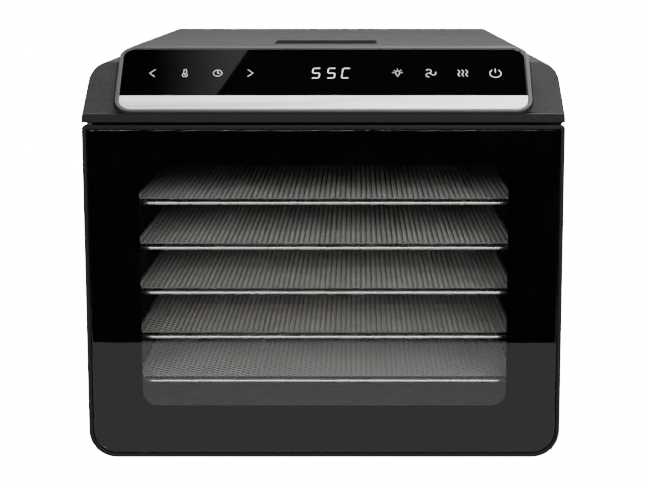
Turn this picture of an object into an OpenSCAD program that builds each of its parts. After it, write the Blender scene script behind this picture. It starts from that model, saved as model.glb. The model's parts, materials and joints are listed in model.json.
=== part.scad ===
// Countertop food dehydrator with a side-hinged glass door and five slide-in mesh trays.
// Origin: centre of the footprint, at the surface it stands on. Front faces -Y, up is +Z.

/* [Cabinet] */
// Width of the door and of the top moulding
body_w = 340; // [330:1:360]
// Depth from the door's face to the rear cover's face
body_d = 420; // [416:1:440]
// Height of the rubber feet
foot_h = 9; // [6:1:14]
// Half-width of the cabinet behind the door
cabinet_half = 167.5; // [167:0.5:168]
// Thickness of the sheet metal panels
panel_t = 1; // [0.8:0.2:2]

/* [Door] */
// Height of the door
door_h = 240.6; // [240:0.1:240.8]
// Thickness of the door moulding
door_t = 12; // [12:1:14]
// Radius of the door's lower corners
door_corner_r = 20; // [14:1:24]
// Visible rim round the glass
door_rim = 3; // [2:0.2:4]
// Thickness of the door glass
glass_t = 4; // [3:0.5:4]
// Half-width of the clear window
window_half = 131; // [120:1:133]
// Height of the window's lower edge
window_z0 = 46.4; // [44:0.2:50]
// Height of the window's upper edge
window_z1 = 220.8; // [215:0.2:222]
// Radius of the window's corners
window_r = 11; // [6:1:14]

/* [Top] */
// Height of the lip's lower edge
lip_z0 = 251.2; // [251:0.1:252]
// Height of the lip's upper edge, where the slope begins
lip_z1 = 257.25; // [256:0.25:259]
// Height of the shoulders
shoulder_z = 291.8; // [290:0.2:293]
// Height of the raised deck
deck_z = 302.5; // [300:0.5:304]
// Run of the sloped face from the lip to the shoulder
slope_run = 40; // [36:1:44]
// Half-width of the raised deck
deck_half = 146; // [140:1:148]
// Where the deck ends, behind the centre
deck_rear = 200; // [190:1:204]

/* [Trays] */
// Number of trays
tray_count = 5; // [5:1:5]
// Height of the lowest tray's wire
tray_z0 = 60.2; // [58:0.2:62]
// Height from one tray to the next
tray_pitch = 32.8; // [30:0.2:34]
// Diameter of the tray wire
wire_d = 3; // [2.5:0.5:3.5]
// Thickness of the tray mesh
mesh_t = 0.5; // [0.5:0.1:1]
// Half-width of a tray at the wire's centre line
tray_half = 138.5; // [136:0.5:139]
// Where a tray's front wire lies
tray_front = -185; // [-188:1:-183]
// Depth of a tray
tray_depth = 298; // [280:1:300]

/* [Fan] */
// Radius of the impeller's blade tips
fan_r = 62; // [50:1:64]
// Number of blades
fan_blades = 7; // [5:1:9]
// Diameter of the motor shaft
shaft_d = 6; // [5:0.5:8]

/* [Hidden] */
$fn = 48;

body_half = body_w / 2;
face_y = -body_d / 2;
back_y = body_d / 2;
door_z0 = foot_h;
door_z1 = foot_h + door_h;
door_back = face_y + door_t;
frame_y = door_back + 2.5;
frame_t = 6;
frame_back = frame_y + frame_t;
rear_y = back_y - 4;
cover_t = 2;
pan_half = cabinet_half - panel_t - 0.1;
pan_h = 15;
flange_w = 13;

slope_y0 = face_y + 1;
slope_rise = shoulder_z - lip_z1;
slope_angle = atan2(slope_rise, slope_run);
shoulder_r = 14;
shoulder_half = body_half - 1.9;
wall = 2.5;
proud = 2;
panel_half = 147.5;
panel_len = 66.5;
panel_r = 11;
inset_half = 144.5;
strip_s0 = 3;
strip_s1 = 16.4;
glass_s1 = 64;
stop_x = body_half - 12.5;
stop_h = 1.1;
pad_s = 39;
pad_places = [-123, -99.8, -76.2, -52.4, 52.8, 75.8, 99.4, 122.6];
blank_lo = [-38, -124];
blank_hi = [38, -57];

chamber_half = 144;
chamber_z0 = 33;
chamber_z1 = 235;
chamber_back = 121;
hinge = [-body_half + 5, face_y + 8.5];
upper_pin_r = 2.2;
lower_pin_r = 1.8;
lug_z = 30;
lug_t = 3;
catch_places = [60, 200];
fan_z = 128;
motor_y0 = chamber_back + 42;
motor_y1 = rear_y - 10;
lamp_place = [0, 40];
probe_place = [90, 90];
gland_place = [-128, 38];
gland_bore = 3.6;
heater_y = chamber_back + 6;
terminal_x = 8;
terminal_z = fan_z - 73;
cutout_z = fan_z + 74;
shroud_r = 66;
shield_r = 80;
mesh_half = tray_half - 4;
mesh_r = 13;
rest_places = [-140, -40, 60];
board_z = chamber_z1 + 6;
small_screw_r = 1.5;

function tray_z(n) = tray_z0 + tray_pitch * (tray_count - n);

// A rectangle between two corners with its own radius at the lower and the upper corners.
module round_rect(lo, hi, r_low, r_high) {
    difference() {
        translate(lo) square(hi - lo);
        for (side = [0, 1]) {
            corner_cut([side ? hi.x : lo.x, lo.y], side ? -1 : 1, 1, r_low);
            corner_cut([side ? hi.x : lo.x, hi.y], side ? -1 : 1, -1, r_high);
        }
    }
}

// The waste outside a corner's arc, at a corner that opens towards dx and dy.
module corner_cut(corner, dx, dy, r) {
    difference() {
        translate([corner.x + min(0, dx * r), corner.y + min(0, dy * r)]) square(r);
        translate([corner.x + dx * r, corner.y + dy * r]) circle(r);
    }
}

// Stands a drawing of X and Z up, from y0 to y1.
module upright(y0, y1) {
    translate([0, y1, 0]) rotate([90, 0, 0]) linear_extrude(y1 - y0) children();
}

// Turns a drawing of Y and Z into a bar along X, from x0 to x1.
module sideways(x0, x1) {
    translate([x0, 0, 0]) rotate([90, 0, 90]) linear_extrude(x1 - x0) children();
}

// A plate on the control slope: X across, Y up the slope, from depth lo to hi along its normal.
module on_slope(lo, hi) {
    translate([0, slope_y0, lip_z1]) rotate([slope_angle, 0, 0]) translate([0, 0, lo])
        linear_extrude(hi - lo) children();
}

module rod_y(x, z, r, y0, y1) {
    translate([x, y1, z]) rotate([90, 0, 0]) cylinder(r = r, h = y1 - y0);
}

module rod_x(y, z, r, x0, x1) {
    translate([x0, y, z]) rotate([0, 90, 0]) cylinder(r = r, h = x1 - x0);
}

// A pan-head screw whose head rests at the origin and whose shank runs along -Z.
module screw(shank) {
    translate([0, 0, -shank]) cylinder(r = small_screw_r, h = shank);
    difference() {
        cylinder(r = 3, h = 1.8);
        for (a = [0, 90]) translate([0, 0, 1.8]) rotate([0, 0, a]) cube([3.4, 0.8, 1.6], center = true);
    }
}

base_screw_places = [for (x = [-150, 150], y = [-120, 20, 160]) [x, y]];
rear_screw_places = [for (x = [-158, 158], z = [18, 130, 240]) [x, z]];
foot_places = [for (x = [-138, 138], y = [-160, 176]) [x, y]];

module base_pan() {
    color("#26272a") difference() {
        translate([0, 0, foot_h]) linear_extrude(pan_h)
            round_rect([-pan_half, frame_back], [pan_half, rear_y], 4, 4);
        translate([0, 0, foot_h + panel_t]) linear_extrude(pan_h)
            round_rect([panel_t - pan_half, frame_back + panel_t],
                [pan_half - panel_t, rear_y - panel_t], 3, 3);
        for (i = [-6:6]) translate([i * 14, 150, foot_h - 1]) linear_extrude(5)
            round_rect([-2, -20], [2, 20], 1.9, 1.9);
        for (p = base_screw_places) translate([p.x, p.y, foot_h - 1])
            cylinder(r = small_screw_r + 0.1, h = 5);
        for (p = foot_places) translate([p.x, p.y, foot_h - 1]) cylinder(r = 3.2, h = 5);
        for (p = rear_screw_places) rod_y(p.x, p.y, small_screw_r + 0.1, rear_y - 5, rear_y + 1);
    }
}

module side_panel(side) {
    flange_z = foot_h + pan_h + 2;
    color("#2b2c2f") mirror([side < 0 ? 1 : 0, 0, 0]) difference() {
        union() {
            translate([cabinet_half - panel_t, frame_back, foot_h])
                cube([panel_t, rear_y - frame_back, lip_z0 - foot_h]);
            translate([cabinet_half - flange_w, frame_back, lip_z0 - panel_t])
                cube([flange_w, rear_y - frame_back, panel_t]);
            translate([cabinet_half - flange_w, rear_y - panel_t, flange_z])
                cube([flange_w, panel_t, lip_z0 - flange_z]);
        }
        for (p = rear_screw_places) rod_y(p.x, p.y, small_screw_r + 0.1, rear_y - 5, rear_y + 1);
    }
}

module left_side_panel() {
    side_panel(-1);
}

module right_side_panel() {
    side_panel(1);
}

module slot_rings(z, radii, width) {
    for (r = radii) difference() {
        translate([0, z]) circle(r + width / 2);
        translate([0, z]) circle(r - width / 2);
        for (a = [0:60:300]) translate([0, z]) rotate(a) translate([0, -3]) square([r + width, 6]);
    }
}

module rear_cover() {
    color("#222326") difference() {
        union() {
            upright(rear_y, rear_y + cover_t)
                round_rect([-cabinet_half, foot_h + 1], [cabinet_half, lip_z0], 5, 3);
            upright(rear_y + cover_t, back_y) translate([0, fan_z]) circle(82);
        }
        upright(rear_y - 1, back_y + 1) slot_rings(fan_z, [14:8:70], 4);
        for (x = [-110, 110], i = [0:6]) upright(rear_y - 1, back_y)
            round_rect([x - 24, 190 + i * 7], [x + 24, 193.4 + i * 7], 1.6, 1.6);
        rod_y(gland_place.x, gland_place.y, 8, rear_y - 1, back_y);
        for (p = rear_screw_places) rod_y(p.x, p.y, small_screw_r + 0.1, rear_y - 1, back_y);
    }
}

module front_frame() {
    color("#141416") difference() {
        intersection() {
            upright(frame_y, frame_back)
                round_rect([-cabinet_half, foot_h], [cabinet_half, lip_z0 - 0.2], 16, 3);
            linear_extrude(300) round_rect([-cabinet_half, frame_y], [cabinet_half, frame_back + 20], 5, 1);
        }
        upright(frame_y - 1, frame_back + 1)
            round_rect([-chamber_half + 1, chamber_z0 + 1], [chamber_half - 1, chamber_z1 - 1], 8, 8);
        translate([hinge.x - 1.2, frame_y - 1, lug_z - 0.2]) cube([6.9, frame_t + 2, lug_t + 0.4]);
        for (z = catch_places) translate([152, frame_y - 1, z - 15.2]) cube([8.4, 5, 30.4]);
    }
}

// Front outline of the top moulding, grown by g.
module shoulder_outline(g = 0) {
    low = body_half + g;
    high = shoulder_half + g;
    r = shoulder_r + g;
    z = shoulder_z - shoulder_r;
    union() {
        polygon([[-low, lip_z0], [low, lip_z0], [high, z], [-high, z]]);
        for (s = [-1, 1]) translate([s * (high - r), z]) circle(r, $fn = 96);
        translate([-(high - r), z - 1]) square([2 * (high - r), r + 1]);
    }
}

module deck_outline(g = 0) {
    r = 9 + g;
    round_rect([-deck_half - g, shoulder_z - 8], [deck_half + g, deck_z + g], 0.01, r);
}

// Side outline of the shoulders, with its front edges moved in by g.
module slope_side(g, floor_z) {
    drop = g / cos(slope_angle);
    polygon([
        [face_y + g, floor_z], [face_y + g, lip_z1 - drop], [slope_y0 + g * 0.6, lip_z1 - drop],
        [slope_y0 + slope_run + g * 0.3, shoulder_z - g], [rear_y + cover_t - g, shoulder_z - g],
        [rear_y + cover_t - g, floor_z]
    ]);
}

module deck_side(g) {
    top = deck_z - g;
    run = (top - lip_z1) * slope_run / slope_rise;
    low = (shoulder_z - 7 - lip_z1) * slope_run / slope_rise;
    polygon([
        [slope_y0 + low + g * 1.5, shoulder_z - 7], [slope_y0 + run + g * 1.5, top],
        [deck_rear - g, top], [deck_rear - g, shoulder_z - 7]
    ]);
}

module panel_outline(g = 0) {
    round_rect([-panel_half - g, 0.4 - g], [panel_half + g, panel_len + g], 12 + g, panel_r + g);
}

module top_housing() {
    color("#5c5d60") difference() {
        union() {
            intersection() {
                upright(face_y - 1, rear_y + 3) shoulder_outline();
                sideways(-body_half - 1, body_half + 1) slope_side(0, lip_z0);
            }
            intersection() {
                upright(face_y, deck_rear + 1) deck_outline();
                sideways(-body_half, body_half) deck_side(0);
            }
        }
        intersection() {
            upright(frame_back + 4, rear_y + 1) shoulder_outline(-wall);
            sideways(-body_half, body_half) slope_side(6, lip_z0 - 2);
        }
        intersection() {
            upright(face_y, deck_rear) deck_outline(-wall);
            sideways(-body_half, body_half) deck_side(wall);
        }
        on_slope(-2, 30) panel_outline(0.2);
        on_slope(-11, 0) round_rect([-140, 8], [140, 60], 4, 4);
        translate([blank_lo.x - 0.2, blank_lo.y - 0.2, deck_z - 1])
            cube([blank_hi.x - blank_lo.x + 0.4, blank_hi.y - blank_lo.y + 0.4, 3]);
        translate([hinge.x, hinge.y, lip_z0 - 1]) cylinder(r = 4, h = 6);
    }
    color("#5c5d60") translate([stop_x, face_y + 2, lip_z0 - stop_h]) cube([11, 9, stop_h + 1]);
}

module control_bezel() {
    color("#46474a") difference() {
        intersection() {
            on_slope(-2, proud) panel_outline();
            translate([-200, face_y - 2, 0]) cube([400, 200, deck_z]);
        }
        on_slope(-0.4, 10) round_rect([-inset_half, strip_s0], [inset_half, glass_s1], 9, 9);
        on_slope(-10, 5) round_rect([-138, 18], [138, 58], 3, 3);
    }
}

module control_glass() {
    color("#0a0a0c") on_slope(-0.4, proud - 0.2)
        round_rect([-inset_half + 0.15, strip_s1 + 0.1], [inset_half - 0.15, glass_s1 - 0.15], 0.3, 8.8);
}

module trim_strip() {
    color("#d9dadb") on_slope(-0.4, proud - 0.1)
        round_rect([-inset_half + 0.15, strip_s0 + 0.15], [inset_half - 0.15, strip_s1], 8.8, 0.3);
}

module top_blank_plate() {
    color("#3c3d40") translate([0, 0, deck_z - 1]) linear_extrude(0.7)
        round_rect(blank_lo, blank_hi, 2, 2);
}

module display_module() {
    color("#1b1b1e") on_slope(-6.5, -0.6) round_rect([-22, 30], [34, 49], 1, 1);
    color("#1b1b1e") for (x = [-12, 0, 12, 24]) on_slope(-8.4, -6.5)
        translate([x, pad_s]) circle(0.6);
}

module control_board() {
    color("#1f5a34") on_slope(-10, -8.4) round_rect([-136, 20], [136, 56], 2, 2);
}

module touch_pads() {
    color("#3a3a3c") for (x = pad_places) on_slope(-8.4, -0.4)
        translate([x, pad_s]) circle(3.5);
}

module power_board() {
    top = board_z + 1.6;
    color("#1f5a34") translate([-70, 60, board_z]) cube([140, 58, 1.6]);
    color("#202020") translate([-55, 68, top]) cube([28, 32, 24]);
    color("#8a6a2c") translate([5, 70, top]) cube([18, 22, 16]);
    color("#202020") for (x = [36, 52]) translate([x, 80, top]) cylinder(r = 5, h = 20);
}

module cord_gland() {
    color("#121212") difference() {
        union() {
            rod_y(gland_place.x, gland_place.y, 7.8, rear_y - 6, rear_y + cover_t);
            rod_y(gland_place.x, gland_place.y, 10, rear_y + cover_t, back_y);
            rod_y(gland_place.x, gland_place.y, 10, rear_y - 8, rear_y);
        }
        rod_y(gland_place.x, gland_place.y, gland_bore, rear_y - 9, back_y + 1);
    }
}

module runner_wall(side) {
    color("#1b1c1e") mirror([side < 0 ? 1 : 0, 0, 0]) {
        translate([chamber_half, frame_back, chamber_z0 - panel_t])
            cube([panel_t, chamber_back - frame_back, chamber_z1 - chamber_z0 + 2 * panel_t]);
        for (n = [1:tray_count]) {
            translate([chamber_half - 9, frame_back + 3, tray_z(n) - wire_d / 2 - 2.2])
                cube([9.5, chamber_back - frame_back - 3, 2]);
        }
    }
}

module left_runner_wall() {
    runner_wall(-1);
}

module right_runner_wall() {
    runner_wall(1);
}

module chamber_floor() {
    color("#232426") translate([-chamber_half, frame_back, chamber_z0 - panel_t])
        cube([2 * chamber_half, chamber_back - frame_back, panel_t]);
}

module chamber_ceiling() {
    color("#232426") difference() {
        translate([-chamber_half, frame_back, chamber_z1])
            cube([2 * chamber_half, chamber_back - frame_back, panel_t]);
        translate([0, 0, chamber_z1 - 1]) translate(lamp_place) cylinder(r = 12, h = 4);
        translate([probe_place.x, probe_place.y, chamber_z1 - 1]) cylinder(r = 2.5, h = 4);
    }
    color("#232426") for (x = [-64, 64], y = [66, 112]) translate([x, y, chamber_z1 + panel_t / 2])
        cylinder(r = 3.5, h = board_z - chamber_z1 - panel_t / 2);
}

module rear_baffle() {
    color("#2a2b2d") difference() {
        translate([-chamber_half - panel_t, chamber_back, chamber_z0 - panel_t])
            cube([2 * (chamber_half + panel_t), 1.5, chamber_z1 - chamber_z0 + 2 * panel_t]);
        upright(chamber_back - 1, chamber_back + 3) slot_rings(fan_z, [12:9:66], 5);
        for (x = [-128, 128], i = [0:8]) upright(chamber_back - 1, chamber_back + 3)
            round_rect([x - 6, 50 + i * 20], [x + 6, 54 + i * 20], 1.9, 1.9);
    }
}

module heater_frame() {
    color("#b9b2a0") difference() {
        upright(chamber_back + 1.5, chamber_back + 3) translate([0, fan_z]) difference() {
            circle(78);
            circle(66);
        }
        for (a = [45:90:315]) rod_y(72 * cos(a), fan_z + 72 * sin(a), 1.6, chamber_back, chamber_back + 5);
    }
    color("#b9b2a0") for (a = [0:90:270]) translate([0, 0, fan_z]) rotate([0, a, 0])
        translate([42, chamber_back + 1.5, -4]) cube([26, 1.5, 8]);
}

// Two tube rings joined by a short bridge, with a pair of terminals below the outer ring.
module heater_element() {
    color("#8f8f92") translate([0, heater_y, fan_z]) {
        rotate([90, 0, 0]) rotate_extrude() translate([58, 0]) circle(3);
        rotate([90, 0, 0]) rotate_extrude() translate([46, 0]) circle(3);
        translate([0, 0, 46]) cylinder(r = 2.4, h = 12);
        for (x = [-terminal_x, terminal_x]) translate([x, 0, terminal_z - fan_z]) cylinder(r = 2, h = 16);
    }
}

module thermal_cutout() {
    color("#d8d0bc") translate([0, chamber_back + 3, cutout_z]) rotate([-90, 0, 0])
        cylinder(r = 5.5, h = 6);
    color("#c0c0c4") for (s = [-1, 1]) translate([s * 3 - 1, chamber_back + 9, cutout_z - 2])
        cube([2, 6, 4]);
}

module temperature_probe() {
    color("#c8c8cc") translate([probe_place.x, probe_place.y, chamber_z1 - 12])
        cylinder(r = 2.4, h = 22);
    color("#c8c8cc") translate([probe_place.x, probe_place.y, chamber_z1 + panel_t])
        cylinder(r = 5, h = 2);
}

module lamp_board() {
    translate([lamp_place.x, lamp_place.y, chamber_z1 + 3]) {
        color("#e6e6e0") cylinder(r = 14, h = 1.6);
        color("#f0e4a0") for (a = [0:120:240]) translate([5 * cos(a), 5 * sin(a), -1.2])
            cylinder(r = 1.6, h = 1.3);
    }
}

module lamp_lens() {
    color("#e8e8ea") translate([lamp_place.x, lamp_place.y, chamber_z1 - 1.5]) difference() {
        union() {
            cylinder(r = 14, h = 1.5);
            cylinder(r = 11.9, h = 4.5);
        }
        translate([0, 0, 1.5]) cylinder(r = 10.4, h = 4);
    }
}

module fan_shroud() {
    color("#9a9b9e") difference() {
        union() {
            rod_y(0, fan_z, shroud_r + 1.5, chamber_back + 3, chamber_back + 36);
            rod_y(0, fan_z, shroud_r + 16, chamber_back + 34.5, chamber_back + 36);
        }
        rod_y(0, fan_z, shroud_r, chamber_back, chamber_back + 40);
        translate([-terminal_x - 3, chamber_back, terminal_z]) cube([2 * terminal_x + 6, 10, 20]);
    }
}

module fan_motor() {
    color("#6d6e72") difference() {
        union() {
            rod_y(0, fan_z, 24, motor_y0, motor_y1);
            rod_y(0, fan_z, 8, motor_y0 - 4, motor_y0);
            for (a = [90, 270]) translate([-4, motor_y0 + 8, fan_z + (a < 180 ? 22 : -30)]) cube([8, 20, 8]);
        }
        rod_y(0, fan_z, shaft_d / 2 + 0.05, motor_y0 - 5, motor_y1 - 4);
    }
}

// A cross strap whose round shield keeps the fan from being seen or touched through the cover.
module motor_bracket() {
    color("#a3a5a8") difference() {
        upright(motor_y1, motor_y1 + panel_t) union() {
            translate([-90, fan_z - 7]) square([180, 14]);
            translate([0, fan_z]) circle(shield_r);
        }
        for (s = [-1, 1]) rod_y(s * 16, fan_z, 1.6, motor_y1 - 1, motor_y1 + 3);
    }
    color("#a3a5a8") for (s = [-1, 1]) translate([s * 89 - 1, motor_y1 + panel_t, fan_z - 7])
        cube([2, rear_y - motor_y1 - panel_t, 14]);
}

// A lead along square turns, from each point to the next.
module lead(points, r) {
    for (i = [0:len(points) - 2]) {
        from = points[i];
        run = points[i + 1] - from;
        pitch = acos(run.z / norm(run));
        translate(from) rotate([0, pitch, atan2(run.y, run.x)]) cylinder(r = r, h = norm(run));
    }
    for (i = [1:len(points) - 2]) translate(points[i]) sphere(r);
}

module internal_wiring() {
    top = board_z + 1.6;
    x = terminal_x;
    y = heater_y;
    color("#7a1f1f") lead([[x, y, terminal_z], [x, y, 40], [x, 180, 40], [104, 180, 40], [104, 180, 256],
        [60, 180, 256], [60, 110, 256], [60, 110, top]], 1.5);
    color("#20407a") lead([[0, 180, fan_z + 30], [0, 180, 256], [0, 108, 256], [0, 108, top]], 1.5);
}

module hinge_bush_upper() {
    color("#c9c7bd") translate([hinge.x, hinge.y, lip_z0 - 0.6]) difference() {
        cylinder(r = 3.9, h = 5.6);
        translate([0, 0, -1]) cylinder(r = upper_pin_r + 0.05, h = 5.4);
    }
}

module hinge_bracket_lower() {
    color("#7c7e82") difference() {
        union() {
            translate([hinge.x, hinge.y, lug_z]) cylinder(r = 3.2, h = lug_t);
            translate([hinge.x - 2.3, hinge.y, lug_z]) cube([4.6, frame_y - hinge.y, lug_t]);
            translate([hinge.x - 0.4, frame_y - 1, lug_z]) cube([5.9, frame_t + 2, lug_t]);
            translate([hinge.x - 0.2, frame_back, foot_h + pan_h + 0.2]) cube([12, 2, 30]);
        }
        translate([hinge.x, hinge.y, lug_z - 1]) cylinder(r = lower_pin_r + 0.05, h = 5);
        for (z = [8, 19]) rod_y(hinge.x + 7, lug_z + z, 1.5, frame_back - 1, frame_back + 3);
    }
}

module catch_magnets() {
    color("#3a3b3e") for (z = catch_places) translate([152.2, frame_y, z - 15]) cube([8, 4, 30]);
}

module feet() {
    color("#18181a") for (p = foot_places) translate([p.x, p.y, 0]) {
        cylinder(r = 11, h = foot_h);
        translate([0, 0, foot_h]) cylinder(r = 3.1, h = 3.5);
    }
}

module base_screws() {
    color("#b8b9bc") for (p = base_screw_places) translate([p.x, p.y, foot_h])
        rotate([180, 0, 0]) screw(8);
}

module rear_screws() {
    color("#b8b9bc") for (p = rear_screw_places) translate([p.x, rear_y + 2, p.y])
        rotate([-90, 0, 0]) screw(9);
}

module door_outline(g = 0) {
    round_rect([-body_half + g, door_z0 + g], [body_half - g, door_z1 - g], door_corner_r - g, 3 - g * 0.6);
}

module window_outline(g = 0) {
    r = window_r + g;
    round_rect([-window_half - g, window_z0 - g], [window_half + g, window_z1 + g], r, r);
}

module door_frame() {
    color("#1d1d1f") difference() {
        intersection() {
            upright(face_y, door_back) door_outline();
            linear_extrude(300) round_rect([-body_half, face_y], [body_half, door_back], 0.8, 3);
        }
        upright(face_y - 1, face_y + glass_t + 0.9) door_outline(door_rim);
        upright(face_y, door_back + 1) window_outline(2);
        translate([hinge.x - 10, hinge.y - 3.4, lug_z - 2.5]) cube([14, 20, 8]);
        translate([hinge.x - 10, hinge.y - 5, lug_z - 2.5]) cube([7.8, 20, 8]);
        translate([hinge.x, hinge.y, lug_z - 12]) cylinder(r = lower_pin_r, h = 24);
        translate([hinge.x, hinge.y, door_z1 - 15]) cylinder(r = upper_pin_r, h = 20);
        for (z = catch_places) translate([151.7, door_back - 1.5, z - 15.5]) cube([9, 3, 31]);
    }
}

module door_glass() {
    color("#20242a", 0.4) upright(face_y + 0.5, face_y + 0.5 + glass_t) door_outline(door_rim + 0.2);
}

module glass_border() {
    color("#050506") upright(face_y + 0.5 + glass_t, face_y + glass_t + 0.9) difference() {
        door_outline(door_rim + 0.2);
        window_outline();
    }
}

module door_gasket() {
    color("#2c2c2e") upright(door_back, frame_y - 0.2) difference() {
        round_rect([-148, 30], [148, 240], 12, 12);
        round_rect([-145, 33], [145, 237], 9, 9);
    }
}

module hinge_pin_upper() {
    color("#9c9ea2") translate([hinge.x, hinge.y, door_z1 - 15]) cylinder(r = upper_pin_r, h = 19.9);
}

module hinge_pin_lower() {
    color("#9c9ea2") translate([hinge.x, hinge.y, lug_z - 12]) cylinder(r = lower_pin_r, h = 24);
}

module catch_plates() {
    color("#b4b6ba") for (z = catch_places) translate([152, door_back - 1.5, z - 15]) cube([8.4, 1.5, 30]);
}

// A wire bent round a rectangle.
module tray_frame(n) {
    r = 12;
    back = tray_front + tray_depth;
    z = tray_z(n);
    color("#c4c5c7") {
        for (s = [-1, 1]) rod_y(s * tray_half, z, wire_d / 2, tray_front + r, back - r);
        for (y = [tray_front, back]) rod_x(y, z, wire_d / 2, -tray_half + r, tray_half - r);
        for (q = [[1, 1, 0], [-1, 1, 90], [-1, -1, 180], [1, -1, 270]])
            translate([q.x * (tray_half - r), (tray_front + back) / 2 + q.y * (tray_depth / 2 - r), z])
                rotate([0, 0, q.z]) rotate_extrude(angle = 90) translate([r, 0]) circle(wire_d / 2);
    }
}

// A sheet for the woven cloth, with strips that reach out to rest on the side wires.
module tray_mesh(n) {
    color("#8e8b86") translate([0, 0, tray_z(n) + wire_d / 2]) linear_extrude(mesh_t) {
        round_rect([-mesh_half, tray_front + 2], [mesh_half, tray_front + tray_depth - 2], mesh_r, mesh_r);
        for (y = rest_places) translate([-tray_half, y - 2]) square([2 * tray_half, 4]);
    }
}

module fan_impeller() {
    color("#b6b7ba") difference() {
        union() {
            rod_y(0, fan_z, 15, chamber_back + 16, chamber_back + 30);
            for (i = [0:fan_blades - 1]) translate([0, chamber_back + 23, fan_z])
                rotate([0, i * 360 / fan_blades, 0]) rotate([32, 0, 0]) translate([12, -0.8, -11])
                    cube([fan_r - 13, 1.6, 22]);
        }
        rod_y(0, fan_z, shaft_d / 2, chamber_back + 10, chamber_back + 40);
    }
}

module motor_shaft() {
    color("#cfd0d3") rod_y(0, fan_z, shaft_d / 2, chamber_back + 10, motor_y1 - 5);
}

module shaft_nut() {
    color("#b0a070") difference() {
        translate([0, chamber_back + 16, fan_z]) rotate([90, 0, 0]) cylinder(r = 5.5, h = 5, $fn = 6);
        rod_y(0, fan_z, shaft_d / 2, chamber_back + 5, chamber_back + 20);
    }
}

base_pan();
left_side_panel();
right_side_panel();
rear_cover();
front_frame();
top_housing();
control_bezel();
control_glass();
trim_strip();
top_blank_plate();
display_module();
control_board();
touch_pads();
power_board();
cord_gland();
left_runner_wall();
right_runner_wall();
chamber_floor();
chamber_ceiling();
rear_baffle();
heater_frame();
heater_element();
thermal_cutout();
temperature_probe();
lamp_board();
lamp_lens();
fan_shroud();
fan_motor();
motor_bracket();
internal_wiring();
hinge_bush_upper();
hinge_bracket_lower();
catch_magnets();
feet();
base_screws();
rear_screws();
door_frame();
door_glass();
glass_border();
door_gasket();
hinge_pin_upper();
hinge_pin_lower();
catch_plates();
tray_frame(1);  // tray_1_frame
tray_mesh(1);  // tray_1_mesh
tray_frame(2);  // tray_2_frame
tray_mesh(2);  // tray_2_mesh
tray_frame(3);  // tray_3_frame
tray_mesh(3);  // tray_3_mesh
tray_frame(4);  // tray_4_frame
tray_mesh(4);  // tray_4_mesh
tray_frame(5);  // tray_5_frame
tray_mesh(5);  // tray_5_mesh
fan_impeller();
motor_shaft();
shaft_nut();
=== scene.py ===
"""Looks of the countertop food dehydrator: rounded shells, woven trays, panel icons and studio."""

import json
import math

import bmesh
import bpy
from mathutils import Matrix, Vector

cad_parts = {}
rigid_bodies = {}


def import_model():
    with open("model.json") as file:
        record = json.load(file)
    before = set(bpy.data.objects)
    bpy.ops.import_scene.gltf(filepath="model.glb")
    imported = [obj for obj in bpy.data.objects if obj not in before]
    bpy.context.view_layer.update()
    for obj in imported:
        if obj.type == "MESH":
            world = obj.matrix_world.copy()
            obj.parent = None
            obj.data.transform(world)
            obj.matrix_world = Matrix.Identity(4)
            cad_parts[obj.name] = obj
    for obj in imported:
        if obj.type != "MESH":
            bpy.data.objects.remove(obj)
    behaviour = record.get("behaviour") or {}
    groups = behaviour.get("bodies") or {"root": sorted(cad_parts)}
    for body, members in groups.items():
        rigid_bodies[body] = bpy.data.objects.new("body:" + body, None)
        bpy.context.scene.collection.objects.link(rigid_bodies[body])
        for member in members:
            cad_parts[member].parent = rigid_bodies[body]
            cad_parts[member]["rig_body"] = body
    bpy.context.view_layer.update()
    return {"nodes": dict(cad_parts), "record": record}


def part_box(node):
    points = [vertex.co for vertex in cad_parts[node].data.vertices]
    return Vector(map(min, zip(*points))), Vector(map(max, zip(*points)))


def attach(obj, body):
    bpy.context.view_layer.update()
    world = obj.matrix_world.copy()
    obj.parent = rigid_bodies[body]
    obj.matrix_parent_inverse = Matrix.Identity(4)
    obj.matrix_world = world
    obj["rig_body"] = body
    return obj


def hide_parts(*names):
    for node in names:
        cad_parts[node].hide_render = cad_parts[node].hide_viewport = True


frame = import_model()

MM = 0.001
NODES = frame["nodes"]
SUBPARTS = frame["record"]["subparts"]
TRAYS = range(1, 6)

# ---------------------------------------------------------------- shader building

# Noise keeps mostly between these two values, so a colour or a roughness is spread over them.
NOISE_LOW, NOISE_HIGH = 0.3, 0.7
# How fast the mirror share of glass grows towards a grazing view.
GRAZING_POWER = 5.0


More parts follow.
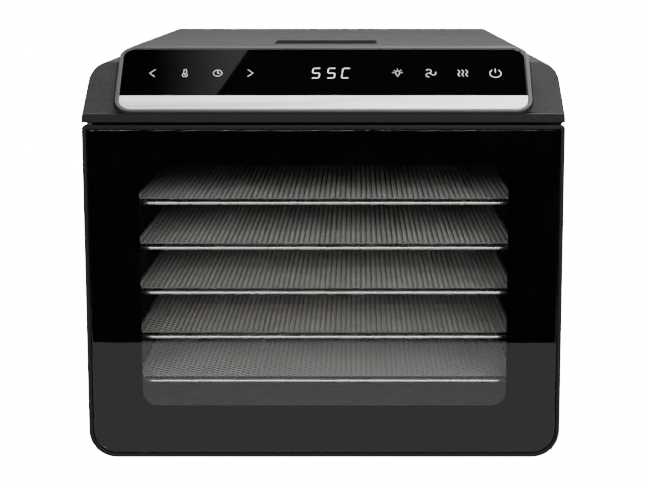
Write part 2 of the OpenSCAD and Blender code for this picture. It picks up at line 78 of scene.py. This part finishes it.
class Shader:
    """A material built from nodes around one Principled shader."""

    def __init__(self, name, colour, roughness, **inputs):
        self.material = bpy.data.materials.new(name)
        self.material.use_nodes = True
        self.tree = self.material.node_tree
        self.body = self.tree.nodes["Principled BSDF"]
        self.colour = (*colour, 1)
        self.set(self.body, {"Base Color": self.colour, "Roughness": roughness, **inputs})
        self.place = self.add("ShaderNodeTexCoord").outputs["Object"]

    def set(self, node, values):
        for key, value in values.items():
            node.inputs[key].default_value = value

    def add(self, kind, inputs=None, **settings):
        node = self.tree.nodes.new(kind)
        for key, value in settings.items():
            setattr(node, key, value)
        self.set(node, inputs or {})
        return node

    def link(self, source, target):
        self.tree.links.new(source, target)

    def stretched(self, scale):
        mapping = self.add("ShaderNodeMapping", {"Scale": scale})
        self.link(self.place, mapping.inputs["Vector"])
        return mapping.outputs["Vector"]

    def noise(self, size, detail=2.0, vector=None, distortion=0.0):
        """Noise whose features are about size metres across."""
        node = self.add("ShaderNodeTexNoise",
                        {"Scale": 1 / size, "Detail": detail, "Distortion": distortion})
        self.link(vector or self.place, node.inputs["Vector"])
        return node.outputs["Fac"]

    def cells(self, size):
        node = self.add("ShaderNodeTexVoronoi", {"Scale": 1 / size})
        self.link(self.place, node.inputs["Vector"])
        return node.outputs["Distance"]

    def remap(self, value, low, high, start=0.0, end=1.0):
        """A value that goes from low to high while the given one goes from start to end."""
        node = self.add("ShaderNodeMapRange",
                        {"From Min": start, "From Max": end, "To Min": low, "To Max": high})
        self.link(value, node.inputs["Value"])
        return node.outputs["Result"]

    def tint(self, value, dark, light):
        """Colours the surface between dark and light times its own colour."""
        ramp = self.add("ShaderNodeValToRGB")
        for element, share in zip(ramp.color_ramp.elements, (dark, light)):
            element.color = (*[min(1, c * share) for c in self.colour[:3]], 1)
        ramp.color_ramp.elements[0].position = NOISE_LOW
        ramp.color_ramp.elements[1].position = NOISE_HIGH
        self.link(value, ramp.inputs["Fac"])
        self.link(ramp.outputs["Color"], self.body.inputs["Base Color"])

    def rough(self, value, low, high):
        spread = self.remap(value, low, high, NOISE_LOW, NOISE_HIGH)
        self.link(spread, self.body.inputs["Roughness"])

    def bump(self, height, depth, normal=None):
        node = self.add("ShaderNodeBump", {"Strength": 1.0, "Distance": depth})
        self.link(height, node.inputs["Height"])
        if normal:
            self.link(normal, node.inputs["Normal"])
        self.link(node.outputs["Normal"], self.body.inputs["Normal"])
        return node.outputs["Normal"]


def moulded(name, colour, roughness, grain, depth, shine=0.25):
    """Moulded plastic with a spark-eroded grain and faint handling marks."""
    s = Shader(name, colour, roughness, **{"Specular IOR Level": shine})
    s.tint(s.noise(grain * 1.5, 5), 0.8, 1.2)
    s.rough(s.noise(14 * MM, 4, distortion=0.6), roughness - 0.06, roughness + 0.06)
    normal = s.bump(s.noise(grain, 3), depth)
    s.bump(s.cells(grain * 1.7), depth * 0.5, normal)
    return s.material


def powder_coat(name, colour, roughness):
    """Powder-coated sheet: a fine orange peel over a broad, slight waviness."""
    s = Shader(name, colour, roughness, **{"Specular IOR Level": 0.45})
    s.tint(s.noise(60 * MM, 3), 0.92, 1.08)
    s.rough(s.noise(9 * MM, 4), roughness - 0.07, roughness + 0.07)
    normal = s.bump(s.noise(0.9 * MM, 2), 0.05 * MM)
    s.bump(s.noise(90 * MM, 1), 0.4 * MM, normal)
    return s.material


def rubbery(name, colour):
    """Rubber or foam: matt, mottled and faintly pitted."""
    s = Shader(name, colour, 0.75, **{"Specular IOR Level": 0.3})
    s.tint(s.noise(6 * MM, 3), 0.75, 1.25)
    s.rough(s.noise(3 * MM, 3), 0.65, 0.85)
    s.bump(s.noise(0.5 * MM, 2), 0.04 * MM)
    return s.material


def brushed(name, colour, roughness, along=(6, 900, 900), **inputs):
    """Metal with fine scratches that run along the axis with the small number."""
    s = Shader(name, colour, roughness, **{"Metallic": 1.0, **inputs})
    strokes = s.noise(1.0, 3, s.stretched(along))
    s.tint(strokes, 0.82, 1.06)
    s.rough(strokes, roughness - 0.08, roughness + 0.1)
    s.bump(strokes, 0.012 * MM)
    return s.material


def bright_metal(name, colour, roughness, metallic=1.0):
    """Plated or drawn metal with small dull patches, wholly or partly a mirror."""
    s = Shader(name, colour, roughness, Metallic=metallic)
    s.tint(s.noise(25 * MM, 3), 0.92, 1.02)
    s.rough(s.noise(12 * MM, 4), roughness - 0.04, roughness + 0.08)
    s.bump(s.noise(4 * MM, 2), 0.006 * MM)
    return s.material


def polished_black(name, colour, roughness):
    """Black glass or print with faint wiping smears in its gloss."""
    s = Shader(name, colour, roughness, **{"IOR": 1.5, "Specular IOR Level": 0.5})
    smear = s.noise(30 * MM, 4, s.stretched((1, 3, 1)), 1.2)
    s.tint(smear, 0.8, 1.2)
    s.rough(smear, roughness, roughness + 0.03)
    s.bump(s.noise(200 * MM, 1), 0.004 * MM)
    return s.material


def printed(name, colour):
    """Ceramic print seen through glass: no shine of its own, slightly uneven cover."""
    s = Shader(name, colour, 0.8, **{"Specular IOR Level": 0.0})
    s.tint(s.noise(12 * MM, 3), 0.7, 1.4)
    s.rough(s.noise(2 * MM, 2), 0.7, 0.9)
    return s.material


def see_through(name, tint, ior, roughness, haze):
    """Glass that lets lamps through: clear, a mirror in part by angle, and a little dusty."""
    s = Shader(name, (0.8, 0.8, 0.8), 0.6)
    clear = s.add("ShaderNodeBsdfTransparent", {"Color": (*tint, 1)})
    mirror = s.add("ShaderNodeBsdfGlossy", {"Color": (1, 1, 1, 1), "Roughness": roughness})
    slant = s.add("ShaderNodeLayerWeight", {"Blend": 0.5})
    grazing = s.add("ShaderNodeMath", {1: GRAZING_POWER}, operation="POWER")
    s.link(slant.outputs["Facing"], grazing.inputs[0])
    mirror_head_on = ((ior - 1) / (ior + 1)) ** 2
    pane = s.add("ShaderNodeMixShader")
    s.link(s.remap(grazing.outputs["Value"], mirror_head_on, 1.0), pane.inputs["Fac"])
    s.link(clear.outputs["BSDF"], pane.inputs[1])
    s.link(mirror.outputs["BSDF"], pane.inputs[2])
    dusty = s.add("ShaderNodeMixShader")
    dust = s.remap(s.noise(25 * MM, 5), 0, haze, start=0.45, end=0.75)
    s.link(dust, dusty.inputs["Fac"])
    s.link(pane.outputs["Shader"], dusty.inputs[1])
    s.link(s.body.outputs["BSDF"], dusty.inputs[2])
    s.link(dusty.outputs["Shader"], s.tree.nodes["Material Output"].inputs["Surface"])
    return s.material


def circuit(name, colour):
    """Solder mask with copper tracks showing through as raised, lighter lines."""
    s = Shader(name, colour, 0.4)
    tracks = s.add("ShaderNodeTexBrick", {
        "Scale": 90, "Mortar Size": 0.03, "Color1": s.colour,
        "Color2": tuple(c * 0.8 for c in s.colour), "Mortar": (0.12, 0.38, 0.16, 1)})
    s.link(s.place, tracks.inputs["Vector"])
    s.link(tracks.outputs["Color"], s.body.inputs["Base Color"])
    s.rough(s.noise(4 * MM, 2), 0.3, 0.5)
    s.bump(tracks.outputs["Fac"], 0.05 * MM)
    return s.material


def lit(name, colour, strength):
    """Backlit print with a slightly uneven cover."""
    glow = {"Emission Color": (*colour, 1), "Emission Strength": strength}
    s = Shader(name, colour, 0.4, **glow)
    s.tint(s.noise(1.5 * MM, 2), 0.9, 1.0)
    s.rough(s.noise(1 * MM, 1), 0.35, 0.5)
    return s.material


MATERIALS = {
    "cabinet_metal": powder_coat("cabinet_metal", (0.028, 0.028, 0.03), 0.45),
    "inner_plastic": moulded("inner_plastic", (0.012, 0.012, 0.013), 0.55, 0.8 * MM, 0.03 * MM),
    "top_plastic": moulded("top_plastic", (0.0232, 0.022, 0.0218), 0.6, 1.1 * MM, 0.1 * MM, 0.07),
    "bezel_plastic": moulded("bezel_plastic", (0.05, 0.05, 0.051), 0.45, 0.5 * MM, 0.02 * MM),
    "control_glass": polished_black("control_glass", (0.0008, 0.0008, 0.001), 0.003),
    "trim_metal": brushed("trim_metal", (0.93, 0.93, 0.94), 0.45, Anisotropic=0.6, Metallic=0.6),
    "blank_plate": moulded("blank_plate", (0.004, 0.004, 0.0042), 0.9, 0.4 * MM, 0.01 * MM, 0.02),
    "display_body": moulded("display_body", (0.01, 0.01, 0.01), 0.5, 0.5 * MM, 0.02 * MM),
    "circuit_board": circuit("circuit_board", (0.02, 0.13, 0.045)),
    "touch_foam": rubbery("touch_foam", (0.03, 0.03, 0.03)),
    "rubber": rubbery("rubber", (0.012, 0.012, 0.012)),
    "gasket_rubber": rubbery("gasket_rubber", (0.02, 0.02, 0.021)),
    "chamber_metal": powder_coat("chamber_metal", (0.006, 0.006, 0.006), 0.6),
    "insulator": moulded("insulator", (0.5, 0.46, 0.38), 0.7, 1.2 * MM, 0.05 * MM),
    "heater_tube": bright_metal("heater_tube", (0.05, 0.043, 0.038), 0.7),
    "plain_steel": brushed("plain_steel", (0.3, 0.3, 0.31), 0.5, (300, 300, 20)),
    "lamp_lens": see_through("lamp_lens", (0.85, 0.85, 0.87), 1.5, 0.3, 0.5),
    "motor_metal": powder_coat("motor_metal", (0.09, 0.09, 0.1), 0.4),
    "lead_cover": moulded("lead_cover", (0.25, 0.03, 0.03), 0.45, 1 * MM, 0.02 * MM),
    "bush_plastic": moulded("bush_plastic", (0.45, 0.44, 0.4), 0.45, 0.6 * MM, 0.02 * MM),
    "magnet": moulded("magnet", (0.03, 0.03, 0.032), 0.5, 0.6 * MM, 0.03 * MM),
    "screw_steel": bright_metal("screw_steel", (0.5, 0.5, 0.52), 0.3),
    "door_plastic": moulded("door_plastic", (0.012, 0.012, 0.013), 0.45, 0.5 * MM, 0.02 * MM, 0.15),
    "door_glass": see_through("door_glass", (0.93, 0.935, 0.935), 1.5, 0.004, 0.002),
    "glass_print": printed("glass_print", (0.0006, 0.0006, 0.0008)),
    "fan_metal": powder_coat("fan_metal", (0.05, 0.05, 0.052), 0.55),
    "brass_nut": bright_metal("brass_nut", (0.7, 0.5, 0.2), 0.3),
    "tray_wire": bright_metal("tray_wire", (0.86, 0.85, 0.84), 0.26),
    # Warps and wefts are one steel. The warps take this darker copy as painted shade, and the wefts
    # take the lighter copy below as painted highlight, which sets bright weft lines against dark
    # warps.
    "tray_mesh": bright_metal("tray_mesh", (0.46, 0.443, 0.425), 0.42),
    "tray_weft_painted_lighter": bright_metal("tray_weft_painted_lighter", (0.66, 0.635, 0.6), 0.5, 0.72),
    "panel_light": lit("panel_light", (0.95, 0.97, 1.0), 0.75),
}


def paint(piece, slot):
    piece.data.materials.clear()
    piece.data.materials.append(MATERIALS[slot])


def paint_cad():
    for part in SUBPARTS:
        material = MATERIALS[part["material_slot"]]
        for slot in NODES[part["node"]].material_slots:
            slot.material = material


# ---------------------------------------------------------------- mesh building


def link_mesh(name, mesh, body, smooth=True):
    """Puts a mesh in the scene as a piece that rides a body."""
    piece = bpy.data.objects.new(name, mesh)
    bpy.context.scene.collection.objects.link(piece)
    if smooth:
        mesh.shade_smooth()
    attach(piece, body)
    return piece


def body_of(node):
    return NODES[node]["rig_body"]


def slot_of(node):
    return next(part["material_slot"] for part in SUBPARTS if part["node"] == node)


# Edges steeper than this are rounded over, and those still steeper than the next keep a crease.
SHARP_EDGE = math.radians(32)
SHARP_SHADE = math.radians(40)
# Facets that are flatter than this to each other merge, and so do points nearer than the next.
FLAT_ENOUGH = math.radians(1)
WELD = 0.004 * MM
ROUND_SEGMENTS = 3


def rounded_copy(node, width, shift=0.0):
    """A copy of a CAD shell with every sharp edge rounded over, shown in its place.

    The shift moves it towards the front.
    """
    mesh = bpy.data.meshes.new(f"{node}_rounded")
    bm = bmesh.new()
    bm.from_mesh(NODES[node].data)
    bmesh.ops.remove_doubles(bm, verts=bm.verts, dist=WELD)
    bmesh.ops.dissolve_limit(bm, angle_limit=FLAT_ENOUGH, verts=bm.verts, edges=bm.edges)
    edges = [e for e in bm.edges if len(e.link_faces) == 2 and e.calc_face_angle() > SHARP_EDGE]
    bmesh.ops.bevel(bm, geom=edges, offset=width, segments=ROUND_SEGMENTS, profile=0.5,
                    affect="EDGES", clamp_overlap=False)
    bmesh.ops.translate(bm, vec=(0, -shift, 0), verts=bm.verts)
    bmesh.ops.triangulate(bm, faces=[f for f in bm.faces if len(f.verts) > 4])
    bm.to_mesh(mesh)
    bm.free()
    piece = link_mesh(f"{node}_shell", mesh, body_of(node))
    mesh.set_sharp_from_angle(angle=SHARP_SHADE)
    flat = piece.modifiers.new("flat_faces_stay_flat", "WEIGHTED_NORMAL")
    flat.keep_sharp = True
    flat.weight = 100
    paint(piece, slot_of(node))
    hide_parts(node)


# ---------------------------------------------------------------- woven trays

MESH_PITCH = 3.8 * MM
MESH_CORNER = 13 * MM
# Warp wires run from front to back and weft wires from side to side.
WARP_R = 0.68 * MM
WEFT_R = 0.27 * MM
# How far a wire's middle line swings to either side of the cloth's.
MESH_CRIMP = 0.48 * MM
# A wire's run past its last crossing, and its swing there as a share of the full one.
WIRE_TAIL = 1.0 * MM
TAIL_RISE = 0.5
# Room between the outline and the outermost wires, and between it and a wire's last crossing.
EDGE_ROOM = 0.6 * MM
END_ROOM = 0.3 * MM


def reach(across, half_along, half_across):
    """How far a wire runs to either side of the middle, inside the rounded outline."""
    over = abs(across) - (half_across - MESH_CORNER)
    if over <= 0:
        return half_along
    return half_along - MESH_CORNER + math.sqrt(max(0, MESH_CORNER ** 2 - over ** 2))


def crossings(half):
    """Numbers and places of the wires to both sides of the middle."""
    count = int((half - EDGE_ROOM) / MESH_PITCH)
    return [(i, i * MESH_PITCH) for i in range(-count, count + 1)]


def add_wire(verts, faces, points, along_x):
    """A four-sided wire through the points, closed at both ends."""
    start = len(verts)
    r = WEFT_R if along_x else WARP_R
    for x, y, z in points:
        for side, up in ((r, 0), (0, r), (-r, 0), (0, -r)):
            verts.append((x, y + side, z + up) if along_x else (x + side, y, z + up))
    for ring in range(len(points) - 1):
        a = start + 4 * ring
        for k in range(4):
            faces.append((a + k, a + (k + 1) % 4, a + 4 + (k + 1) % 4, a + 4 + k))
    faces.append((start + 3, start + 2, start + 1, start))
    end = start + 4 * (len(points) - 1)
    faces.append((end, end + 1, end + 2, end + 3))


def woven_sheet(width, depth):
    """Plain-woven wire cloth about its own middle: each wire passes over and under in turn."""
    verts, faces = [], []
    ways = ((True, width / 2, depth / 2), (False, depth / 2, width / 2))
    for along_x, half_along, half_across in ways:
        for j, across in crossings(half_across):
            limit = reach(across, half_along, half_across)
            steps = [(i, at) for i, at in crossings(half_along) if abs(at) < limit - END_ROOM]
            line = [(at, MESH_CRIMP * (1 if (i + j + along_x) % 2 else -1)) for i, at in steps]
            end = min(limit, steps[-1][1] + WIRE_TAIL)
            line = [(-end, line[0][1] * TAIL_RISE)] + line + [(end, line[-1][1] * TAIL_RISE)]
            points = [(at, across, z) if along_x else (across, at, z) for at, z in line]
            add_wire(verts, faces, points, along_x)
        if along_x:
            weft_faces = len(faces)
    mesh = bpy.data.meshes.new("woven_sheet")
    mesh.from_pydata(verts, [], faces)
    # Warp faces take the darker copy of the steel and weft faces the lighter one: a painted split
    # of light and shade between wires of one steel.
    mesh.materials.append(MATERIALS["tray_mesh"])
    mesh.materials.append(MATERIALS["tray_weft_painted_lighter"])
    mesh.polygons.foreach_set("material_index", [i < weft_faces for i in range(len(faces))])
    return mesh


def weave_trays():
    low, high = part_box("tray_1_mesh")
    mesh = woven_sheet(high[0] - low[0], high[1] - low[1])
    mesh.shade_smooth()
    for n in TRAYS:
        low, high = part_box(f"tray_{n}_mesh")
        cloth = bpy.data.objects.new(f"tray_{n}_cloth", mesh)
        bpy.context.scene.collection.objects.link(cloth)
        x, y = ((low[axis] + high[axis]) / 2 for axis in (0, 1))
        cloth.location = (x, y, low[2] + MESH_CRIMP + WARP_R)
        bpy.context.view_layer.update()
        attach(cloth, f"tray_{n}")
        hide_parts(f"tray_{n}_mesh")


# ---------------------------------------------------------------- panel icons and digits

# The print is drawn in millimetres. These are its line widths.
HAIR, THIN, FINE, LINE, HUB, BOLD, BAR, DIGIT = 0.26, 0.28, 0.3, 0.34, 0.4, 0.45, 0.5, 0.75
# Its underside and its top above the glass.
PRINT_LEVELS = (0.01, 0.06)
# At a sharp corner a line grows no wider than its own width divided by this.
MITRE_LIMIT = 0.4


def arc(cx, cy, r, start, end, steps=20):
    """Points on an arc about (cx, cy), from start to end in degrees."""
    angles = [math.radians(start + (end - start) * i / steps) for i in range(steps + 1)]
    return [(cx + r * math.cos(a), cy + r * math.sin(a)) for a in angles]


def stroke(points, width=THIN, closed=False):
    """Left and right edges of a line drawn through the points, mitred at its corners."""
    rails = []
    count = len(points)
    for i, point in enumerate(points):
        before = points[i - 1] if i or closed else point
        after = points[(i + 1) % count] if i < count - 1 or closed else point
        tangents = [Vector(b) - Vector(a) for a, b in ((before, point), (point, after)) if a != b]
        tangent = sum((t.normalized() for t in tangents), Vector((0, 0))).normalized()
        mitre = max(MITRE_LIMIT, abs(tangent.dot(tangents[0].normalized())))
        out = Vector((-tangent.y, tangent.x)) * width / 2 / mitre
        rails.append((Vector(point) + out, Vector(point) - out))
    return rails + rails[:1] if closed else rails


def thermometer():
    outline = arc(0, -1.9, 1.8, 122, 418) + arc(0, 2.7, 0.95, 0, 180, 8)
    return [stroke(outline, HAIR, closed=True), stroke([(0, -2.2), (0, -0.4)], BAR)]


def clock():
    hands = [(0, 1.7), (0, 0), (1.5, -0.4)]
    return [stroke(arc(0, 0, 3.1, 0, 342, 19), closed=True), stroke(hands, BOLD)]


def bulb():
    inner, outer, middle = 2.8, 3.7, 0.5
    rays = []
    for a in (math.radians(degrees) for degrees in (0, 45, 90, 135, 180)):
        rays.append(stroke([(r * math.cos(a), middle + r * math.sin(a)) for r in (inner, outer)]))
    glass = [(-0.7, -2.2)] + arc(0, middle, 1.7, 235, -55) + [(0.7, -2.2)]
    return [stroke(glass, FINE), stroke([(-0.7, -3.0), (0.7, -3.0)])] + rays


def blower():
    out, blade_r = 2.2, 1.9
    blades = []
    for a in (0, 2 * math.pi / 3, 4 * math.pi / 3):
        turn = math.degrees(a)
        blade = arc(out * math.cos(a), out * math.sin(a), blade_r, turn - 150, turn + 40, 9)
        blades.append(stroke(blade, LINE))
    return blades + [stroke(arc(0, 0, 0.4, 0, 300, 6), HUB, closed=True)]


def warm_air():
    heights = [i * 0.5 - 3.2 for i in range(14)]
    waves = [[(x + 0.7 * math.sin(v * 1.3), v) for v in heights] for x in (-2.8, 0, 2.8)]
    return [stroke(wave, LINE) for wave in waves]


def power():
    return [stroke(arc(0, -0.3, 4.0, 122, 418, 26), BOLD), stroke([(0, 4.4), (0, 0.4)], BOLD)]


def chevron(side):
    tip, rise = 1.9 * side, 3.7
    return [stroke([(-tip, rise), (tip, 0), (-tip, -rise)])]


def digit(segments):
    """A slanted seven-segment figure: a top, b and c right, d bottom, e and f left, g middle."""
    half, rise, gap, lean = 2.6, 4.9, 0.4, 0.12
    ends = {"a": ((-half, rise), (half, rise)), "g": ((-half, 0), (half, 0)),
            "d": ((-half, -rise), (half, -rise)), "f": ((-half, rise), (-half, 0)),
            "b": ((half, rise), (half, 0)), "e": ((-half, 0), (-half, -rise)),
            "c": ((half, 0), (half, -rise))}
    lines = []
    for name in segments:
        start, end = (Vector(p) for p in ends[name])
        trim = (end - start).normalized() * gap
        lines.append(stroke([(p.x + p.y * lean, p.y) for p in (start + trim, end - trim)], DIGIT))
    return lines


def glass_plane():
    """Centre, upslope direction and normal of the control glass, from its largest face."""
    faces = NODES["control_glass"].data.polygons
    normal = max(faces, key=lambda face: face.area * (face.normal.z > 0)).normal.copy()
    corners = [v.co for v in NODES["control_glass"].data.vertices]
    level = max(c.dot(normal) for c in corners)
    up = normal.cross(Vector((1, 0, 0)))
    middle = (max(c.dot(up) for c in corners) + min(c.dot(up) for c in corners)) / 2
    return normal * level + up * middle, up, normal


def print_on_glass(name, lines, at, drop):
    """Lays strokes, drawn in millimetres, on the glass as a thin raised print."""
    centre, up, normal = glass_plane()
    right = Vector((1, 0, 0))
    bm = bmesh.new()

    def vertex(p, lift):
        x, y = p.x + at, p.y - drop
        return bm.verts.new(centre + right * x * MM + up * y * MM + normal * lift * MM)

    for rails in lines:
        low, high = ([[vertex(p, lift) for p in pair] for pair in rails] for lift in PRINT_LEVELS)
        for i in range(len(rails) - 1):
            bm.faces.new((high[i][0], high[i][1], high[i + 1][1], high[i + 1][0]))
            bm.faces.new((low[i][0], low[i + 1][0], low[i + 1][1], low[i][1]))
            bm.faces.new((low[i][0], high[i][0], high[i + 1][0], low[i + 1][0]))
            bm.faces.new((low[i][1], low[i + 1][1], high[i + 1][1], high[i][1]))
        for end in (0, -1):
            bm.faces.new((low[end][0], low[end][1], high[end][1], high[end][0]))
    bmesh.ops.recalc_face_normals(bm, faces=bm.faces)
    mesh = bpy.data.meshes.new(name)
    bm.to_mesh(mesh)
    bm.free()
    piece = link_mesh(name, mesh, "cabinet", smooth=False)
    paint(piece, "panel_light")


def print_panel():
    first, step, drop = 52.6, 23.3, 1.2
    left = [chevron(1), clock(), thermometer(), chevron(-1)]
    right = [bulb(), blower(), warm_air(), power()]
    for side, icons in ((-1, left), (1, right)):
        for k, lines in enumerate(icons):
            name = f"icon_{'left' if side < 0 else 'right'}_{k + 1}"
            print_on_glass(name, lines, side * (first + step * k), drop)
    for name, segments, at in (("digit_tens", "afgcd", -5.6), ("digit_units", "afgcd", 5.3),
                               ("digit_scale", "afed", 15.7)):
        print_on_glass(name, digit(segments), at, drop)


# ---------------------------------------------------------------- studio

# A strength at which whatever the camera sees is plain white.
WHITE_OUT = 22.0


def stage_material(name):
    material = bpy.data.materials.new(name)
    material.use_nodes = True
    material.node_tree.nodes.clear()
    return material, material.node_tree


def fade(tree, place, start, end, low, high, curve="LINEAR"):
    """A strength that goes from low to high while a coordinate goes from start to end."""
    node = tree.nodes.new("ShaderNodeMapRange")
    node.interpolation_type = curve
    for key, value in (("From Min", start), ("From Max", end), ("To Min", low), ("To Max", high)):
        node.inputs[key].default_value = value
    tree.links.new(place, node.inputs["Value"])
    return node.outputs["Result"]


def coordinates(tree, kind):
    place = tree.nodes.new("ShaderNodeTexCoord")
    axes = tree.nodes.new("ShaderNodeSeparateXYZ")
    tree.links.new(place.outputs[kind], axes.inputs[0])
    return axes.outputs


def stage_plane(name, corners, material):
    mesh = bpy.data.meshes.new(name)
    mesh.from_pydata(corners, [], [tuple(range(len(corners)))])
    mesh.materials.append(material)
    plane = bpy.data.objects.new(name, mesh)
    bpy.context.scene.collection.objects.link(plane)
    return plane


def only_seen_by(plane, *rays):
    for ray in ("camera", "diffuse", "glossy", "transmission", "volume_scatter", "shadow"):
        setattr(plane, f"visible_{ray}", ray in rays)


def pale_floor():
    """White floor for the camera alone."""
    material, tree = stage_material("pale_floor")
    matt = tree.nodes.new("ShaderNodeBsdfDiffuse")
    matt.inputs["Color"].default_value = (0.85, 0.85, 0.85, 1)
    glow = tree.nodes.new("ShaderNodeEmission")
    glow.inputs["Strength"].default_value = WHITE_OUT
    both = tree.nodes.new("ShaderNodeAddShader")
    out = tree.nodes.new("ShaderNodeOutputMaterial")
    tree.links.new(matt.outputs[0], both.inputs[0])
    tree.links.new(glow.outputs[0], both.inputs[1])
    tree.links.new(both.outputs[0], out.inputs["Surface"])
    edge = 6
    corners = [(-edge, -edge, 0), (edge, -edge, 0), (edge, edge, 0), (-edge, edge, 0)]
    floor = stage_plane("floor", corners, material)
    only_seen_by(floor, "camera")


def glow_card(name, corners, strength, fade_from=None, fade_to=None):
    """A card seen only in mirrors, with a level glow or one that grows along X."""
    material, tree = stage_material(name)
    glow = tree.nodes.new("ShaderNodeEmission")
    glow.inputs["Strength"].default_value = strength
    out = tree.nodes.new("ShaderNodeOutputMaterial")
    tree.links.new(glow.outputs[0], out.inputs["Surface"])
    if fade_from is not None:
        across = coordinates(tree, "Object")["X"]
        growth = fade(tree, across, fade_from, fade_to, 0, strength, "SMOOTHSTEP")
        tree.links.new(growth, glow.inputs["Strength"])
    only_seen_by(stage_plane(name, corners, material), "glossy")


def softbox(name, place, aim, size, watts):
    light = bpy.data.lights.new(name, "AREA")
    light.shape = "RECTANGLE"
    light.size, light.size_y = size
    light.energy = watts
    lamp = bpy.data.objects.new(name, light)
    bpy.context.scene.collection.objects.link(lamp)
    lamp.location = place
    lamp.rotation_euler = (Vector(aim) - Vector(place)).to_track_quat("-Z", "Y").to_euler()


def background(tree, strength=WHITE_OUT):
    """A white background whose strength is a number or another node's output."""
    shade = tree.nodes.new("ShaderNodeBackground")
    shade.inputs["Color"].default_value = (1, 1, 1, 1)
    if isinstance(strength, float):
        shade.inputs["Strength"].default_value = strength
    else:
        tree.links.new(strength, shade.inputs["Strength"])
    return shade


def chosen(tree, when, otherwise, then):
    """One background for the rays that the Light Path output picks, and another for the rest."""
    mix = tree.nodes.new("ShaderNodeMixShader")
    tree.links.new(when, mix.inputs[0])
    tree.links.new(otherwise.outputs[0], mix.inputs[1])
    tree.links.new(then.outputs[0], mix.inputs[2])
    return mix


def surroundings():
    """White to the camera, a soft fill from above, and in mirrors a dark room paler at the rear."""
    world = bpy.data.worlds.new("studio")
    bpy.context.scene.world = world
    world.use_nodes = True
    tree = world.node_tree
    tree.nodes.clear()
    ray = tree.nodes.new("ShaderNodeLightPath").outputs
    axes = coordinates(tree, "Generated")
    fill = background(tree, fade(tree, axes["Z"], start=-0.2, end=0.5, low=0.08, high=0.46))
    room = background(tree, fade(tree, axes["Y"], start=0.5, end=0.95, low=0.02, high=0.12))
    mirrored = chosen(tree, ray["Is Glossy Ray"], fill, room)
    seen = chosen(tree, ray["Is Camera Ray"], mirrored, background(tree))
    out = tree.nodes.new("ShaderNodeOutputWorld")
    tree.links.new(seen.outputs[0], out.inputs["Surface"])


def studio():
    surroundings()
    pale_floor()
    side, rear, under = 3, 1, -0.001
    glow_card("floor_in_the_door", strength=0.9, corners=[
        (-side, -0.677, under), (side, -0.66, under), (side, rear, under), (-side, rear, under)])
    left, over = -0.4, 1
    glow_card("card_over_the_panel", strength=0.8, fade_from=-0.21, fade_to=-0.09, corners=[
        (left, -0.2, over), (-0.169, -0.2, over), (-0.037, 0, over), (left, 0, over)])
    softbox("sky_box", place=(0.25, 0.6, 1.5), aim=(0, 0, 0.2), size=(1.5, 0.9), watts=72)
    softbox("front_low", place=(0.1, -1.85, 0.66), aim=(0, -0.1, 0.15), size=(1.8, 0.4), watts=21)
    softbox("front_right", place=(0.8, -1.3, 0.95), aim=(0, -0.1, 0.15), size=(0.5, 0.6), watts=8)


def view_from_the_photo():
    """The photograph's place, tilt and framing."""
    camera = bpy.data.objects.new("camera", bpy.data.cameras.new("camera"))
    bpy.context.scene.collection.objects.link(camera)
    camera.location = (0.0236, -1.514, 0.3623)
    camera.rotation_euler = (math.radians(80.2), 0, 0)
    camera.data.sensor_width = 36
    camera.data.lens = 103.22
    camera.data.shift_x = -0.0509
    camera.data.shift_y = 0.0617
    bpy.context.scene.camera = camera


# Width of the rounding on each shell, in millimetres.
ROUNDED = {
    "top_housing": 0.7, "control_bezel": 0.5, "control_glass": 0.4, "trim_strip": 0.3,
    "top_blank_plate": 0.2, "door_frame": 0.6, "door_glass": 1.0, "front_frame": 0.4,
    "rear_cover": 0.3, "base_pan": 0.3, "left_side_panel": 0.3, "right_side_panel": 0.3,
    "left_runner_wall": 0.3, "right_runner_wall": 0.3, "feet": 0.9, "cord_gland": 0.5,
}
BORDER_ROUNDING = 0.05 * MM
# The print sits this far inside the glass, clear of its rear face.
BORDER_SINK = 0.15 * MM

paint_cad()
for node, width in ROUNDED.items():
    rounded_copy(node, width * MM)
rounded_copy("glass_border", BORDER_ROUNDING, shift=BORDER_SINK)
weave_trays()
print_panel()
studio()
view_from_the_photo()
